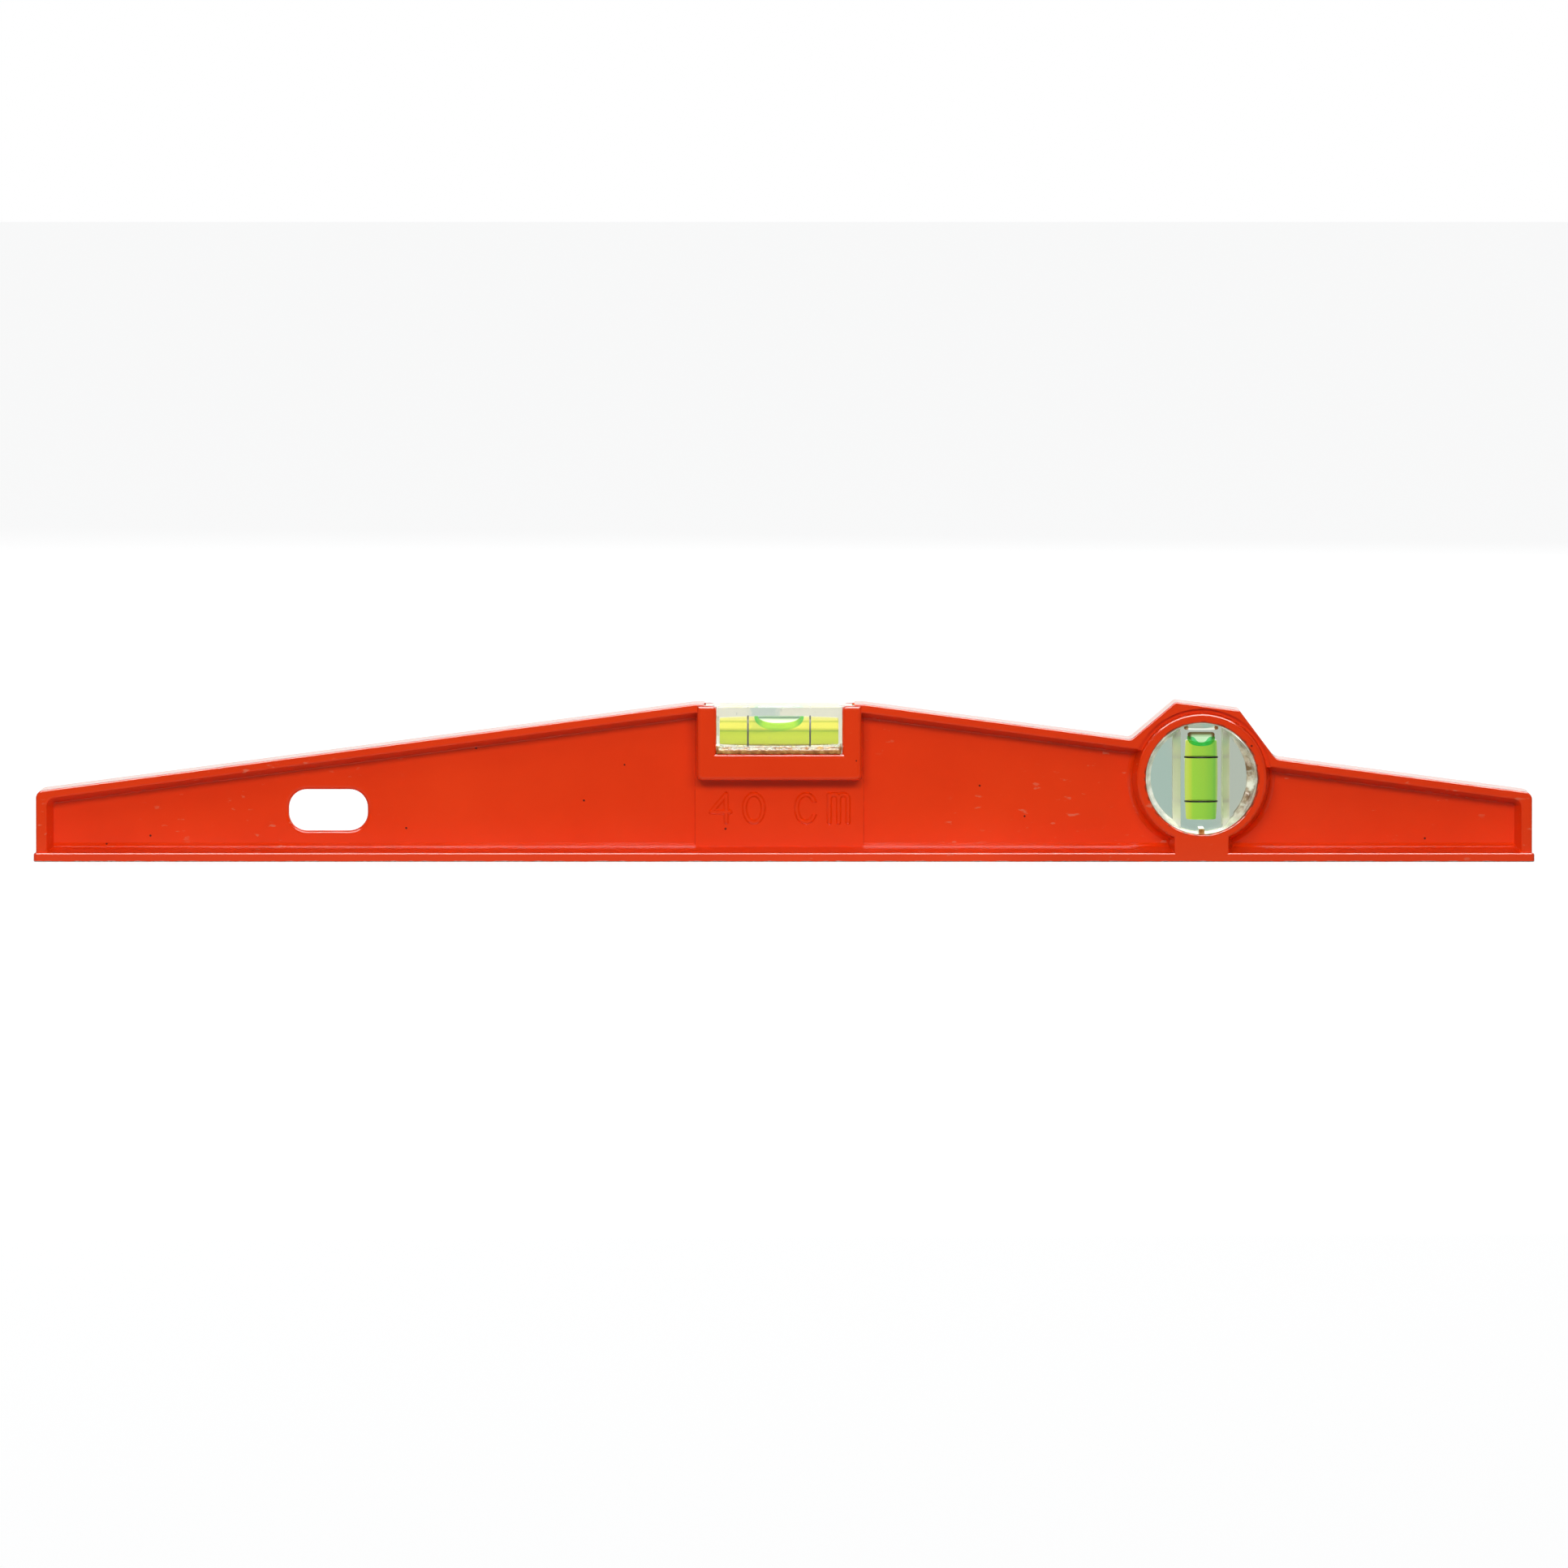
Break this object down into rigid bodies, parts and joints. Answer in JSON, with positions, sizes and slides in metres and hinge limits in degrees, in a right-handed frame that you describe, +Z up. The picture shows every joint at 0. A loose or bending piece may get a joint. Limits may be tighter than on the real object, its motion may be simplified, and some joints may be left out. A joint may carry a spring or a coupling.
{
  "type": "spirit level",
  "caption": "Cast spirit level with sloping top rail, a level vial in the top edge, a plumb vial in a round boss and a hang slot.",
  "frame": {"origin": "under the middle of the measuring face, at the bottom centre of the box", "axes": "+X along the level towards the plumb vial, -Y out of the front face, +Z up from the measuring face"},
  "size_m": [0.4, 0.02, 0.0425],
  "materials": {
    "cast_paint": "gloss painted casting, bare milled base",
    "clear_acrylic": "polished clear acrylic",
    "clear_plug": "clear plastic",
    "vial_fluid": "fluorescent yellow-green fluid",
    "air_bubble": "clear",
    "black_line": "matt ink",
    "adhesive": "amber adhesive"
  },
  "bodies": {
    "level": {"frame": "cast_paint", "level_vial_block": "clear_acrylic", "level_vial_plug": "clear_plug", "level_vial_fluid": "vial_fluid", "level_line_left": "black_line", "level_line_right": "black_line", "level_vial_adhesive": "adhesive", "plumb_vial_disc": "clear_acrylic", "plumb_vial_plug": "clear_plug", "plumb_vial_fluid": "vial_fluid", "plumb_line_upper": "black_line", "plumb_line_lower": "black_line", "plumb_vial_adhesive": "adhesive"},
    "level_bubble": {"level_bubble": "air_bubble"},
    "plumb_bubble": {"plumb_bubble": "air_bubble"}
  },
  "joints": [
    {"name": "level_bubble_travel", "type": "hinge", "parent": "level", "child": "level_bubble", "pos_m": [-0.00133, 0, -0.2611], "axis": [0, 1, 0], "range_deg": [-1.7, 1.7], "stiffness_Nm_per_rad": 0.5},
    {"name": "plumb_bubble_travel", "type": "slide", "parent": "level", "child": "plumb_bubble", "axis": [0, 0, 1], "range_m": [-0.019, 0], "stiffness_N_per_m": 2, "springref_m": 0.01}
  ]
}
